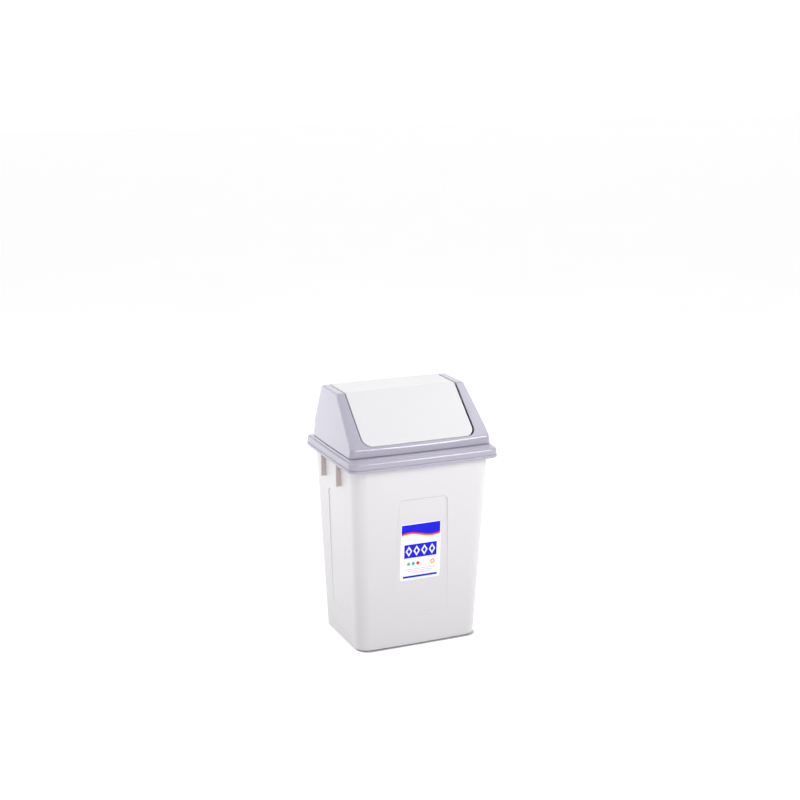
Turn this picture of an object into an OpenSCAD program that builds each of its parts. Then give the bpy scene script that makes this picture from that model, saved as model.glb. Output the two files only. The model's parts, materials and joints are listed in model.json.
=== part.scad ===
// Small swing-lid bin: a tapered bucket, a lift-off lid frame with a long sloping
// front, a flap that swings in the frame on two stub pins, and a paper label.
// Millimetres, +Z up, origin at the middle of the footprint on the floor,
// front towards -Y.

/* [Bucket] */
// Height of the bucket, floor to rim
bucket_h = 236.8; // [180:1:280]
// Width of the bucket at the floor
base_w = 156; // [130:1:165]
// Depth of the bucket at the floor
base_d = 116; // [95:1:125]
// Corner radius in plan at the floor
base_r = 14; // [8:1:24]
// Corner radius in plan at the rim
top_r = 16; // [10:1:26]
// Wall thickness of the bucket
wall_t = 2; // [1.6:0.1:3]
// Thickness of the bucket's floor
floor_t = 2.2; // [1.6:0.1:4]
// Height of the standing ring under the floor
foot_h = 1; // [0.5:0.5:5]
// Width of the standing ring
foot_w = 5; // [3:0.5:9]
// How far the standing ring lies inside the wall
foot_inset = 5; // [2:0.5:9]
// Bevel of the wall's bottom edge
foot_edge = 1.2; // [0.4:0.1:2]
// Slope-in of the wall where it meets the floor inside
floor_fillet = 4; // [1:0.5:8]
// How far the rim reaches out past the wall
rim_reach = 4.8; // [3:0.1:8]
// Thickness of the rim
rim_t = 2; // [1.4:0.1:3]
// Depth of the rim's turned-down edge
rim_drop = 5; // [4:0.5:9]
// Thickness of the rim's turned-down edge
rim_lip_t = 1.6; // [1.2:0.1:2.5]

/* [Outline] */
// How far the front and back bow out in plan
bow_front = 1.5; // [0:0.5:4]
// How far the two short sides bow out in plan
bow_side = 1; // [0:0.5:3]

/* [Side ribs] */
// Distance between the two ribs under each end of the rim
rib_pitch = 48; // [30:1:70]
// Thickness of each rib
rib_t = 2; // [1.5:0.1:4]
// Distance from the rim's top to the foot of the ribs
rib_drop = 37.3; // [20:1:60]

/* [Recessed panels] */
// Width of the front panel at its top
panel_top_w = 62; // [58:1:80]
// Width of the front panel at its bottom
panel_low_w = 72; // [58:1:84]
// Height of the panels' top edge
panel_top_z = 186.5; // [150:1:190]
// Height of the panels' bottom edge
panel_low_z = 40; // [20:1:70]
// Corner radius of the panels
panel_r = 6; // [2:0.5:12]
// Depth of the panels at their top, at the middle of the wall
panel_top_depth = 1; // [0.5:0.1:1.2]
// Depth of the panels at their bottom, at the middle of the wall
panel_low_depth = 0.4; // [0.1:0.1:1]
// Width of the side panels at their top
side_panel_top_w = 38; // [24:1:60]
// Width of the side panels at their bottom
side_panel_low_w = 44; // [24:1:60]

/* [Label] */
// Width of the label
label_w = 52; // [30:1:52]
// Height of the label
label_h = 71; // [40:1:80]
// Distance from the middle of the wall to the label's middle, less than nothing to the left
label_x = -2; // [-2:0.5:2]
// Height of the label's middle above the floor
label_z = 120.5; // [90:0.5:140]
// Thickness of the label
label_t = 0.2; // [0.1:0.05:0.4]
// Corner radius of the label
label_r = 3; // [1:0.5:6]

/* [Lid frame] */
// Width across the lid's skirt
skirt_w = 191.6; // [180:1:220]
// Depth across the lid's skirt
skirt_d = 152.4; // [142:1:180]
// Corner radius of the skirt in plan
skirt_r = 10; // [8:1:24]
// Height of the skirt
skirt_h = 11.5; // [8:0.5:20]
// Wall thickness of the lid frame
frame_t = 1.8; // [1.4:0.1:3]
// Height of the bead along the skirt's lower edge
bead_h = 3.2; // [2:0.1:5]
// How far the bead stands out
bead_out = 0.5; // [0.2:0.1:1]
// Rounding of the skirt's top edge
skirt_edge = 2; // [0.6:0.1:2.5]
// Rise of the ledge from the skirt to the foot of the hood
ledge_rise = 2.1; // [0:0.1:6]
// Width of the ledge along the two short sides
side_ledge = 4.1; // [3:0.1:12]
// Width of the ledge along the front and back
front_ledge = 13.4; // [8:0.1:20]
// Corner radius in plan of the hood
hood_r = 5; // [4:0.5:14]
// Height of the hood's upright wall, up to the fold
hood_wall_h = 8.8; // [4:0.1:20]
// Height of the sloping part, from the fold to the flat top
gable_h = 54.6; // [40:1:80]
// How far each short side leans in from the foot to the top
side_lean = 8.9; // [4:0.1:14]
// Depth of the flat top, front to back
ridge_d = 51.7; // [30:1:60]
// How far the flat top lies behind the middle of the bin
ridge_back = 25.7; // [10:1:28]
// Rounding of the bends in the hood and the flap
bend_r = 4; // [2:0.5:8]

/* [Opening] */
// Width of the frame strip under the opening, front
front_strip = 4.6; // [3:0.1:12]
// Width of the frame strip under the opening, back
back_strip = 8; // [6:0.5:14]
// Corner radius at the foot of the opening
opening_r = 13; // [3:0.5:14]

/* [Flap] */
// Width of the flap
flap_w = 141.6; // [110:0.2:145]
// Thickness of the flap
flap_t = 1.8; // [1.4:0.1:2.4]
// How far the flap stands proud of the frame
flap_proud = 0.6; // [0:0.1:1.5]
// Gap beside the flap
side_gap = 1.7; // [1:0.1:4]
// Gap at the front edge of the flap
front_gap = 1.2; // [1:0.1:4]
// Gap at the back edge of the flap, which needs room as the flap turns
back_gap = 3; // [2.6:0.1:8]
// Corner radius at the foot of the flap's front
flap_r = 12; // [6:0.5:20]
// Depth of the stiffening flange along the flap's ends
flange_d = 9; // [5:0.5:14]
// Depth of the flange along the flap's front edge
front_flange_d = 5; // [3:0.5:7]

/* [Pivot] */
// Distance of the pivot behind the middle of the bin
pivot_y = 7.1; // [0:0.1:20]
// Distance of the pivot under the flat top
pivot_drop = 8.4; // [7:0.1:16]
// Diameter of the stub pins
pin_d = 6; // [4:0.5:8]
// Radial running clearance of the pins
pin_clear = 0.08; // [0.05:0.01:0.1]
// Wall of plastic around each pin's bore
boss_wall = 2.8; // [2:0.1:4]
// Thickness of the ears that carry the pins
ear_t = 2.5; // [2:0.1:4]
// How far the pins stand out past the ears
pin_over = 1.5; // [0.5:0.1:4]
// Gap between the ears and the collars on the pins
collar_gap = 0.3; // [0.2:0.05:0.6]

/* [Fit] */
// Gap between the rim and the skirt around it
rim_gap = 0.4; // [0.3:0.05:1]
// Gap between the rim's top and the lid's ledge
seat_gap = 0.3; // [0.2:0.05:0.5]

/* [Hidden] */
$fn = 48;

white = [0.90, 0.90, 0.91];
lilac = [0.74, 0.73, 0.81];
flap_white = [0.94, 0.94, 0.95];

arc_n = 6;        // steps round each plan corner
side_n = 5;       // points between two corners, which carry the bow
quarter = [[1, 1], [-1, 1], [-1, -1], [1, -1]];
eps = 0.05;
far = 60;         // how far a cutter runs past what it cuts

// Bucket
rim_w = skirt_w - 2 * (frame_t + rim_gap);
rim_d = skirt_d - 2 * (frame_t + rim_gap);
top_w = rim_w - 2 * rim_reach;
top_d = rim_d - 2 * rim_reach;
floor_z = foot_h + floor_t;
rib_z = bucket_h - rib_drop;

// Lid frame
ledge_z = bucket_h + seat_gap + frame_t;      // top of the skirt
skirt_z = ledge_z - skirt_h;                  // foot of the skirt
foot_z = ledge_z + ledge_rise;                // where the hood starts
fold_z = foot_z + hood_wall_h;
top_z = fold_z + gable_h;
hood_w = skirt_w - 2 * bead_out - 2 * side_ledge;
hood_d = skirt_d - 2 * bead_out - 2 * front_ledge;
hood_top_w = hood_w - 2 * side_lean;
opening_w = flap_w + 2 * side_gap;

// Corners of the hood's outline seen from the side, as [y, z]
front_foot = [-hood_d / 2, fold_z];
front_ridge = [ridge_back - ridge_d / 2, top_z];
back_ridge = [ridge_back + ridge_d / 2, top_z];
back_foot = [hood_d / 2, fold_z];
pivot = [pivot_y, top_z - pivot_drop];
boss_r = pin_d / 2 + boss_wall;

// ---- plan outlines and lofts --------------------------------------------

function mix(a, b, t) = a + (b - a) * t;

function corner(w, d, r, q, i) =
    [quarter[q].x * (w / 2 - r) + r * cos(90 * q + 90 * i / arc_n),
     quarter[q].y * (d / 2 - r) + r * sin(90 * q + 90 * i / arc_n)];

function rounded(w, d, r) = [for (q = [0:3]) each concat(
    [for (i = [0:arc_n]) corner(w, d, r, q, i)],
    [for (k = [1:side_n])
        mix(corner(w, d, r, q, arc_n), corner(w, d, r, (q + 1) % 4, 0), k / (side_n + 1))])];

// A point of a w by d outline, moved out so that the sides bow
function bowed(p, w, d) =
    [p.x * (1 + bow_side / (w / 2) * (1 - pow(2 * p.y / d, 2))),
     p.y * (1 + bow_front / (d / 2) * (1 - pow(2 * p.x / w, 2)))];

// A ring is [width, depth, corner radius, height]; width and depth include the bow
function ring_points(ring) =
    let (w = ring[0] - 2 * bow_side, d = ring[1] - 2 * bow_front, r = ring[2])
    [for (p = rounded(w, d, r)) let (b = bowed(p, w, d)) [b.x, b.y, ring[3]]];

// Skin over a list of rings, closed by flat ends, or end to end as a hoop
module loft(rings, hoop = false) {
    n = 4 * (arc_n + 1 + side_n);
    count = len(rings);
    spans = hoop ? count - 1 : count - 2;
    sides = [for (s = [0:spans]) for (i = [0:n - 1])
        let (a = s * n, b = ((s + 1) % count) * n, j = (i + 1) % n)
        each [[a + i, b + i, b + j], [a + i, b + j, a + j]]];
    ends = hoop ? [] : [[for (i = [0:n - 1]) i],
                        [for (i = [n - 1:-1:0]) (count - 1) * n + i]];
    polyhedron([for (ring = rings) each ring_points(ring)], concat(sides, ends));
}

// ---- bucket ---------------------------------------------------------------

function wall_w(z) = mix(base_w, top_w, z / bucket_h);
function wall_d(z) = mix(base_d, top_d, z / bucket_h);
function wall_r(z) = mix(base_r, top_r, z / bucket_h);

// Ring of the outer wall at height z, drawn in by inset on every side
function wall_ring(z, inset, at = undef) =
    [wall_w(z) - 2 * inset, wall_d(z) - 2 * inset, max(wall_r(z) - inset, 1),
     is_undef(at) ? z : at];

function rim_ring(inset, z) =
    [rim_w - 2 * inset, rim_d - 2 * inset, top_r + rim_reach - inset, z];

module bucket_shell() {
    loft([
        wall_ring(0, foot_inset + foot_w, foot_h),
        wall_ring(0, foot_inset + foot_w),
        wall_ring(0, foot_inset),
        wall_ring(0, foot_inset, foot_h),
        wall_ring(0, foot_edge, foot_h),
        wall_ring(foot_h + foot_edge, 0),
        wall_ring(bucket_h - rim_t, 0),
        rim_ring(rim_lip_t, bucket_h - rim_t),
        rim_ring(rim_lip_t, bucket_h - rim_drop),
        rim_ring(0, bucket_h - rim_drop),
        rim_ring(0, bucket_h - rim_t / 2),
        rim_ring(rim_t / 2, bucket_h),
        wall_ring(bucket_h, wall_t),
        wall_ring(floor_z + floor_fillet, wall_t),
        wall_ring(floor_z, wall_t + floor_fillet / 2),
    ]);
}

// Trapezoid with rounded corners, standing on y = 0
module panel_outline(top, low, h, r) {
    offset(r) offset(delta = -r)
        polygon([[-low / 2, 0], [low / 2, 0], [top / 2, h], [-top / 2, h]]);
}

// Cutter whose flat inner face lies under the wall by the panel's depth.
// half_low and half_top are half the wall's outer size at the ends of the panel.
module panel_cutter(half_low, half_top, top, low) {
    h = panel_top_z - panel_low_z;
    in_low = half_low - panel_low_depth;
    in_top = half_top - panel_top_depth;
    tilt = atan((in_top - in_low) / h);
    translate([0, -in_low, panel_low_z])
        rotate([90 + tilt, 0, 0])
            linear_extrude(wall_t + panel_top_depth)
                panel_outline(top, low, h / cos(tilt), panel_r);
}

module panels() {
    panel_cutter(wall_d(panel_low_z) / 2, wall_d(panel_top_z) / 2, panel_top_w, panel_low_w);
    rotate([0, 0, 180])
        panel_cutter(wall_d(panel_low_z) / 2, wall_d(panel_top_z) / 2, panel_top_w, panel_low_w);
    for (turn = [90, 270])
        rotate([0, 0, turn])
            panel_cutter(wall_w(panel_low_z) / 2, wall_w(panel_top_z) / 2,
                         side_panel_top_w, side_panel_low_w);
}

// Ribs under the two ends of the rim; a stacked bin stands on their feet
module ribs() {
    root = wall_w(rib_z) / 2 - wall_t / 2;
    for (side = [-1, 1]) for (end = [-1, 1])
        translate([side * (root + rim_w / 2) / 2, end * rib_pitch / 2, 0])
            translate([-(rim_w / 2 - root) / 2, -rib_t / 2, rib_z])
                cube([rim_w / 2 - root, rib_t, rib_drop - rim_t / 2]);
}

// The ribs reach no further in than the middle of the wall
module bucket() {
    color(white) {
        difference() {
            bucket_shell();
            panels();
        }
        difference() {
            ribs();
            loft([wall_ring(rib_z - far, wall_t / 2), wall_ring(bucket_h + 1, wall_t / 2)]);
        }
    }
}

// ---- label ----------------------------------------------------------------

// Lies flat on the floor of the front panel
module label() {
    h = panel_top_z - panel_low_z;
    in_low = wall_d(panel_low_z) / 2 - panel_low_depth;
    in_top = wall_d(panel_top_z) / 2 - panel_top_depth;
    tilt = atan((in_top - in_low) / h);
    color("white")
        translate([0, -in_low, panel_low_z])
            rotate([90 + tilt, 0, 0])
                translate([label_x, (label_z - panel_low_z) / cos(tilt), 0])
                    linear_extrude(label_t)
                        offset(label_r)
                            square([label_w - 2 * label_r, label_h - 2 * label_r], center = true);
}

// ---- lid frame --------------------------------------------------------------

function skirt_ring(inset, z) =
    [skirt_w - 2 * inset, skirt_d - 2 * inset, max(skirt_r - inset, 1), z];

function foot_ring(inset, z) =
    [hood_w - 2 * inset, hood_d - 2 * inset, max(hood_r - inset, 1), z];

// Skirt over the rim, and the ledge up to the foot of the hood
module skirt() {
    turn = skirt_edge * (1 - cos(45));
    loft([
        skirt_ring(0, skirt_z),
        skirt_ring(0, skirt_z + bead_h - bead_out),
        skirt_ring(bead_out, skirt_z + bead_h),
        skirt_ring(bead_out, ledge_z - skirt_edge),
        skirt_ring(bead_out + turn, ledge_z - turn),
        skirt_ring(bead_out + skirt_edge, ledge_z),
        foot_ring(0, foot_z),
        foot_ring(frame_t / 2, foot_z),
        foot_ring(frame_t / 2, foot_z - frame_t),
        skirt_ring(frame_t, ledge_z - frame_t),
        skirt_ring(frame_t, skirt_z),
    ], hoop = true);
}

// Outline of the hood from the side, running on down past the foot
module gable_outline(grow, round_r) {
    run_front = (front_ridge - front_foot) / (front_ridge.y - front_foot.y);
    run_back = (back_ridge - back_foot) / (back_ridge.y - back_foot.y);
    down = fold_z - (foot_z - far);
    offset(round_r) offset(delta = grow - round_r)
        polygon([front_foot - run_front * down, front_ridge,
                 back_ridge, back_foot - run_back * down]);
}

// Sweeps a [y, z] outline along X, centred
module along_x(length) {
    rotate([90, 0, 90])
        translate([0, 0, -length / 2])
            linear_extrude(length) children();
}

// The hood, or the room inside it when inset by the wall
module hood_block(inset, from_z) {
    rise = top_z - foot_z;
    lean = side_lean / rise;
    low = hood_w + 2 * lean * (foot_z - from_z) - 2 * inset;
    high = hood_top_w - 2 * lean - 2 * inset;
    r = max(hood_r - inset, 1);
    intersection() {
        loft([[low, hood_d - 2 * inset, r, from_z],
              [high, hood_d - 2 * inset, r, top_z + 1]]);
        along_x(hood_w + far) gable_outline(-inset, bend_r - inset / 2);
    }
}

// Slab square to a slope, its foot at `foot` and running up the slope for
// `length`, with rounded lower corners. `to` is a point further up the slope.
module slope_slab(foot, to, w, length, r, deep) {
    run = to - foot;
    translate([0, foot.x, foot.y])
        rotate([atan2(run.y, run.x), 0, 0])
            translate([0, 0, -deep])
                linear_extrude(2 * deep)
                    union() {
                        translate([-w / 2, r]) square([w, length - r]);
                        translate([-w / 2 + r, 0]) square([w - 2 * r, length]);
                        for (side = [-1, 1]) translate([side * (w / 2 - r), r]) circle(r);
                    }
}

function step_from(a, b, dist) = a + (b - a) * dist / norm(b - a);

// What the flap closes: the front slope, the flat top and the back slope
module opening() {
    front = step_from(front_foot, front_ridge, front_strip);
    back = step_from(back_foot, back_ridge, back_strip);
    deep = 3 * frame_t;
    slope_slab(front, front_ridge, opening_w, norm(front_ridge - front), opening_r, deep);
    slope_slab(back, back_ridge, opening_w, norm(back_ridge - back), opening_r, deep);
    translate([-opening_w / 2, front_ridge.x - deep, top_z - deep])
        cube([opening_w, ridge_d + deep + frame_t, 2 * deep]);
}

// Ear under each strip of the flat top, with the bore for a pin
module ears() {
    for (side = [-1, 1])
        translate([side * (opening_w + ear_t) / 2, 0, 0])
            along_x(ear_t) {
                translate([pivot.x - boss_r, pivot.y])
                    square([2 * boss_r, pivot_drop - frame_t / 2]);
                translate(pivot) circle(boss_r);
            }
}

module pin_bores() {
    translate([0, pivot.x, pivot.y])
        rotate([0, 90, 0])
            cylinder(h = opening_w + 4 * ear_t, d = pin_d + 2 * pin_clear, center = true);
}

module lid_frame() {
    color(lilac)
        difference() {
            union() {
                skirt();
                difference() {
                    hood_block(0, foot_z - frame_t + eps);
                    hood_block(frame_t, foot_z - 2 * frame_t);
                    opening();
                }
                ears();
            }
            pin_bores();
        }
}

// ---- swing flap --------------------------------------------------------------

// Side view of the room the flap may fill, cut square at its two edges
module flap_window(back_off, front_off) {
    front = step_from(front_foot, front_ridge, front_strip + front_gap + front_off);
    back = step_from(back_foot, back_ridge, back_strip + back_gap + back_off);
    up_front = (front_ridge - front_foot) / norm(front_ridge - front_foot);
    up_back = (back_ridge - back_foot) / norm(back_ridge - back_foot);
    out_front = [-up_front.y, up_front.x];
    out_back = [up_back.y, -up_back.x];
    reach = flap_proud + flap_t;
    polygon([front - out_front * flange_d * 2, front + out_front * reach,
             front_ridge + [-far, far] / 2, back_ridge + [far, far] / 2,
             back + out_back * reach, back - out_back * flange_d * 2]);
}

// Side view of the flap's sheet
module flap_profile() {
    intersection() {
        difference() {
            gable_outline(flap_proud, bend_r);
            gable_outline(flap_proud - flap_t, bend_r - flap_t);
        }
        flap_window(0, 0);
    }
}

// Side view of the flange at each end, deeper round the pin
module flange_profile() {
    intersection() {
        union() {
            difference() {
                gable_outline(flap_proud - flap_t / 2, bend_r - flap_t / 2);
                gable_outline(flap_proud - flap_t - flange_d, 1);
            }
            translate(pivot) circle(boss_r);
        }
        gable_outline(flap_proud - flap_t / 2, bend_r - flap_t / 2);
        flap_window(opening_r, flap_r + flap_t);
    }
}

// Places a drawing on a slope, its origin at the middle of the flap's edge there, `edge`
// up from the fold; X is across and Y up the slope
module on_slope(foot, ridge, edge, low, high) {
    from = step_from(foot, ridge, edge);
    run = ridge - foot;
    translate([0, from.x, from.y])
        rotate([atan2(run.y, run.x), 0, 0])
            translate([0, 0, low])
                linear_extrude(high - low) children();
}

// One edge of the flap with its two corners, drawn in by inset
module flap_edge_outline(r, inset = 0) {
    hull()
        for (side = [-1, 1])
            translate([side * (flap_w / 2 - r), r]) circle(r - inset);
}

// What two rounded corners leave out
module corner_waste(r) {
    difference() {
        translate([-flap_w / 2 - 1, -1]) square([flap_w + 2, r + 1]);
        flap_edge_outline(r);
    }
}

module flap_corners() {
    reach = 2 * flange_d;
    on_slope(front_foot, front_ridge, front_strip + front_gap, -reach, reach)
        corner_waste(flap_r);
    on_slope(back_foot, back_ridge, back_strip + back_gap, -reach, reach)
        corner_waste(opening_r);
}

// Flange under the flap's front edge and round its two corners
module front_flange() {
    on_slope(front_foot, front_ridge, front_strip + front_gap,
             flap_proud - flap_t - front_flange_d, flap_proud - flap_t / 2)
        intersection() {
            difference() {
                flap_edge_outline(flap_r);
                flap_edge_outline(flap_r, flap_t);
            }
            translate([-flap_w / 2, 0]) square([flap_w, flap_r + 2 * flap_t]);
        }
}

// Collar and pin on each end
module pins() {
    collar_l = side_gap - collar_gap;
    pin_l = side_gap + ear_t + pin_over;
    for (side = [-1, 1])
        translate([side * flap_w / 2, pivot.x, pivot.y])
            rotate([0, side * 90, 0])
                translate([0, 0, -flap_t / 2]) {
                    cylinder(h = collar_l + flap_t / 2, r = pin_d / 2 + boss_wall / 2);
                    cylinder(h = pin_l + flap_t / 2, d = pin_d);
                }
}

module swing_flap() {
    color(flap_white) {
        difference() {
            along_x(flap_w) flap_profile();
            flap_corners();
        }
        front_flange();
        for (side = [-1, 1])
            translate([side * (flap_w - flap_t) / 2, 0, 0])
                along_x(flap_t) flange_profile();
        pins();
    }
}

bucket();
lid_frame();
swing_flap();
label();
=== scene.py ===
"""The looks of a small swing-lid bin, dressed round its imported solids.

Lengths are millimetres and angles degrees; mesh_object() scales points to metres.
+Z is up, the front faces -Y, and a side view is written as [y, z].
"""

import json
import math
from collections import namedtuple

import bmesh
import bpy
from mathutils import Matrix, Vector


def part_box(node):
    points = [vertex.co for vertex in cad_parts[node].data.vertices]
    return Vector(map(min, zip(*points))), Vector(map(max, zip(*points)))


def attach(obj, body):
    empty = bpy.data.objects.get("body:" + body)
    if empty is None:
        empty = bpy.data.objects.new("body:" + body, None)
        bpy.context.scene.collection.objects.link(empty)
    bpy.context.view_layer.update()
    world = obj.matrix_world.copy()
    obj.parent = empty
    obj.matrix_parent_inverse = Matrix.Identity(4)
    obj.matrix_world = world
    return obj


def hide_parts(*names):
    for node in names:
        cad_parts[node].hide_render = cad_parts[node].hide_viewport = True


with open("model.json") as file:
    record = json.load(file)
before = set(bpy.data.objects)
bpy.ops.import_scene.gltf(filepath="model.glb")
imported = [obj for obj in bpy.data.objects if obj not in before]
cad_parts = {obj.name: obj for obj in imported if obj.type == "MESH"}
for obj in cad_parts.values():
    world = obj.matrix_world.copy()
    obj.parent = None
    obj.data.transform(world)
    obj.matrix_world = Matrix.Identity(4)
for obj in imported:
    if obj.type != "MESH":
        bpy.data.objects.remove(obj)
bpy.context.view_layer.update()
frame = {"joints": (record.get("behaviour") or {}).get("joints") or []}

MM = 0.001


# ---- sizes ----

def node_box(node):
    return [[value / MM for value in corner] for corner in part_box(node)]


bucket_box = node_box("bucket")
lid_box = node_box("lid_frame")
flap_box = node_box("swing_flap")
flap_joint = next(j for j in frame["joints"] if j["name"] == "flap_swing")

# Bucket
BUCKET_H = bucket_box[1][2]
RIM_W = 2 * bucket_box[1][0]
RIM_D = 2 * bucket_box[1][1]
BASE_W, BASE_D, BASE_R = 156, 116, 14
TOP_R = 16
RIM_REACH = 4.8        # how far the rim stands out from the wall
RIM_T = 2
RIM_DROP = 5           # height of the rim's turned-down lip
RIM_LIP_T = 1.6
RIM_EDGE = 1           # rounding of the rim's outer top edge
RIM_FILLET = ((0.15, 0.7), (0.6, 0.2), (1.4, 0))    # wall to rim: (out from the wall, below)
LIP_EDGE, LIP_FILLET = 0.3, 0.4        # of that lip, at its foot and inside
MOUTH_EDGE = 0.6       # rounding of the wall's inner top edge
WALL_T = 2
FLOOR_Z = 4.2          # top of the floor, inside
FLOOR_ROUND = 5        # inner rounding between the wall and the floor
FOOT_H = 1             # hollow under the floor
FOOT_W = 5             # width of the standing ring
FOOT_INSET = 5         # how far the standing ring lies inside the wall
FOOT_EDGE = 1.2        # rounding of the wall's bottom edge
RING_EDGE = 0.4        # bevel of the standing ring's edges
BOW_FRONT = 1.5        # how far the front and back bow out at their middle
BOW_SIDE = 1           # and the short sides

# Ribs
RIB_PITCH, RIB_T, RIB_DROP = 48, 2, 37.3
RIB_EDGE = 0.45
RIB_TIP_IN = 0.15      # how far the ribs end inside the rim's edge
RIB_FOOT = ((0.35, 0), (0.1, 0.1), (0, 0.35))       # their foot's bevel: (inset, height)

# Recessed panels
PANEL_TOP_Z, PANEL_LOW_Z = 186.5, 40
PANEL_R = 6
PLAIN_LOW, PLAIN_HIGH = (5, 12, 22, 30), (200, 212, 224)    # rings under and over the panels
PANEL_TOP_DEPTH, PANEL_LOW_DEPTH = 1, 0.4
FRONT_PANEL = (62, 72)     # width at the top and at the bottom
SIDE_PANEL = (38, 44)
PANEL_STEP = 0.45          # width of the slope at the panel's edge
PANEL_LINE_W = 0.4         # half the width of the fine line pressed in along that slope's foot
PANEL_LINE_D = 0.42        # its depth, as a share of the panel's

# Label
LABEL_W, LABEL_H, LABEL_T, LABEL_R = 52, 71, 0.2, 3
LABEL_X, LABEL_Z = -2, 120.5
LABEL_LIFT = 0.01      # air between the label and its panel
LABEL_EDGE = 0.06

# Lid frame
SKIRT_W = 2 * lid_box[1][0]
SKIRT_D = 2 * lid_box[1][1]
SKIRT_Z = lid_box[0][2]
TOP_Z = lid_box[1][2]
SKIRT_R = 10
SKIRT_H = 11.5
SKIRT_EDGE = 3
FRAME_T = 1.8
BEAD_H, BEAD_OUT = 3.2, 0.5            # the band round the skirt's foot
LEDGE_RISE = 2.1       # from the skirt's top edge to the hood's foot
SIDE_LEDGE, FRONT_LEDGE = 4.1, 13.4
HOOD_R = 5             # corner in plan
HOOD_EDGE = 2.2        # edge between the slope and the short sides
EDGE_FADE = 14         # distance up the slope over which HOOD_R turns into HOOD_EDGE
FOLD_R = 5.2           # bend where the front wall turns into the slope
RIDGE_R = 4            # and where the slope turns into the flat top
GABLE_H = 54.6         # from that fold to the top
SIDE_LEAN = 8.9        # how far each short side leans in over its height
RIDGE_D, RIDGE_BACK = 51.7, 25.7       # the flat top's depth, and its middle's Y
FRONT_STRIP, BACK_STRIP = 4.6, 8       # from the folds up to the opening
OPENING_W, OPENING_R = 145, 13
LIP_R = 0.6            # rounding of the opening's edges
FOOT_GROOVE_H, FOOT_GROOVE_D = 1.3, 1.5     # undercut where the hood stands on the ledge

# Flap
FLAP_W, FLAP_T, FLAP_PROUD = 141.6, 1.8, 0.6
FRONT_GAP, BACK_GAP = 0.8, 3
FLAP_SHIFT = -0.7      # the flap has slid to the left on its pins
FLAP_R, FLAP_BACK_R = 12, 13
FLAP_EDGE = 1.1        # rounding of the flap's outer edge
FLANGE_D = 9           # depth of the flanges under the flap's ends
FRONT_FLANGE_D = 5     # depth of the flange under its front edge
FLANGE_IN = 0.03       # how far the flanges' faces lie inside the flap's edge
FLANGE_BEVEL = 0.3
FLANGE_FLARE = 0.33    # how much the front flange leans out, following the swing
FLAP_INNER_EDGE = 0.35 # bevel of the sheet's inner edge
PIN_D, BOSS_WALL, EAR_T = 6, 2.8, 2.5
PIN_TIP = ((0.8, 0), (0.2, 0.5), (0, 1.2))          # its bevel: (from the end, off the radius)
PIN_ROOT = 0.5         # how deep a pin is rooted in the flap's flange
COLLAR_GAP, COLLAR_EDGE = 0.3, 0.3
BORE_D, EAR_EDGE = 6.16, 0.35
AXIS_R = 0.01          # a turned piece's end closes on a ring as small as this
PIVOT = [flap_joint["pos_m"][1] / MM, flap_joint["pos_m"][2] / MM]

# Worked out from the above
TOP_W, TOP_D = RIM_W - 2 * RIM_REACH, RIM_D - 2 * RIM_REACH
LEDGE_Z = SKIRT_Z + SKIRT_H
FOOT_Z = LEDGE_Z + LEDGE_RISE
FOLD_Z = TOP_Z - GABLE_H
HOOD_W = SKIRT_W - 2 * BEAD_OUT - 2 * SIDE_LEDGE
HOOD_D = SKIRT_D - 2 * BEAD_OUT - 2 * FRONT_LEDGE
HOOD_LEAN = SIDE_LEAN / (TOP_Z - FOOT_Z)
LEAN_COS = 1 / math.hypot(1, HOOD_LEAN)
FRONT_RIDGE_Y = RIDGE_BACK - RIDGE_D / 2
BACK_RIDGE_Y = RIDGE_BACK + RIDGE_D / 2
BOSS_R = PIN_D / 2 + BOSS_WALL


# ---- plain maths ----

def mix(a, b, t):
    return a + (b - a) * t


def mix_points(a, b, t):
    return [mix(p, q, t) for p, q in zip(a, b)]


def smooth(t):
    t = min(max(t, 0), 1)
    return t * t * (3 - 2 * t)


def steps(a, b, count):
    """count + 1 evenly spaced values from a to b."""
    return [mix(a, b, i / count) for i in range(count + 1)]


def cosd(a):
    return math.cos(math.radians(a))


def sind(a):
    return math.sin(math.radians(a))


def unit(v):
    length = math.hypot(*v)
    return [c / length for c in v]


# ---- meshes ----

class Skin:
    """Points and faces of one piece, gathered ring by ring."""

    def __init__(self):
        self.points = []
        self.faces = []

    def add(self, points):
        first = len(self.points)
        self.points += [tuple(p) for p in points]
        return list(range(first, len(self.points)))

    def bridge(self, a, b, closed=True):
        count = len(a)
        for i in range(count if closed else count - 1):
            j = (i + 1) % count
            self.faces.append((a[i], a[j], b[j], b[i]))

    def join(self, rings):
        """Faces between closed rings of indices."""
        for a, b in zip(rings, rings[1:]):
            self.bridge(a, b)

    def loft(self, rings):
        """Points and faces of closed rings of points; returns the rings' indices."""
        indices = [self.add(ring) for ring in rings]
        self.join(indices)
        return indices

    def cap(self, ring):
        self.faces.append(tuple(ring))

    def solid(self, rings):
        """Closed rings of points with both ends capped."""
        indices = self.loft(rings)
        self.cap(indices[0])
        self.cap(indices[-1])


CRISP = 40                 # edges that turn by more degrees than this stay crisp
WELD = 1e-7                # points closer than this are one, in metres


def mesh_object(name, skin, material):
    """A smooth-shaded object from a skin."""
    mesh = bpy.data.meshes.new(name)
    mesh.from_pydata([Vector(p) * MM for p in skin.points], [], skin.faces)
    work = bmesh.new()
    work.from_mesh(mesh)
    bmesh.ops.remove_doubles(work, verts=work.verts, dist=WELD)
    bmesh.ops.recalc_face_normals(work, faces=work.faces)
    work.to_mesh(mesh)
    work.free()
    for face in mesh.polygons:
        face.use_smooth = True
    mesh.set_sharp_from_angle(angle=math.radians(CRISP))
    mesh.materials.append(material)
    piece = bpy.data.objects.new(name, mesh)
    bpy.context.scene.collection.objects.link(piece)
    weighted = piece.modifiers.new("even_shading", "WEIGHTED_NORMAL")
    weighted.keep_sharp = True
    return piece


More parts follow.
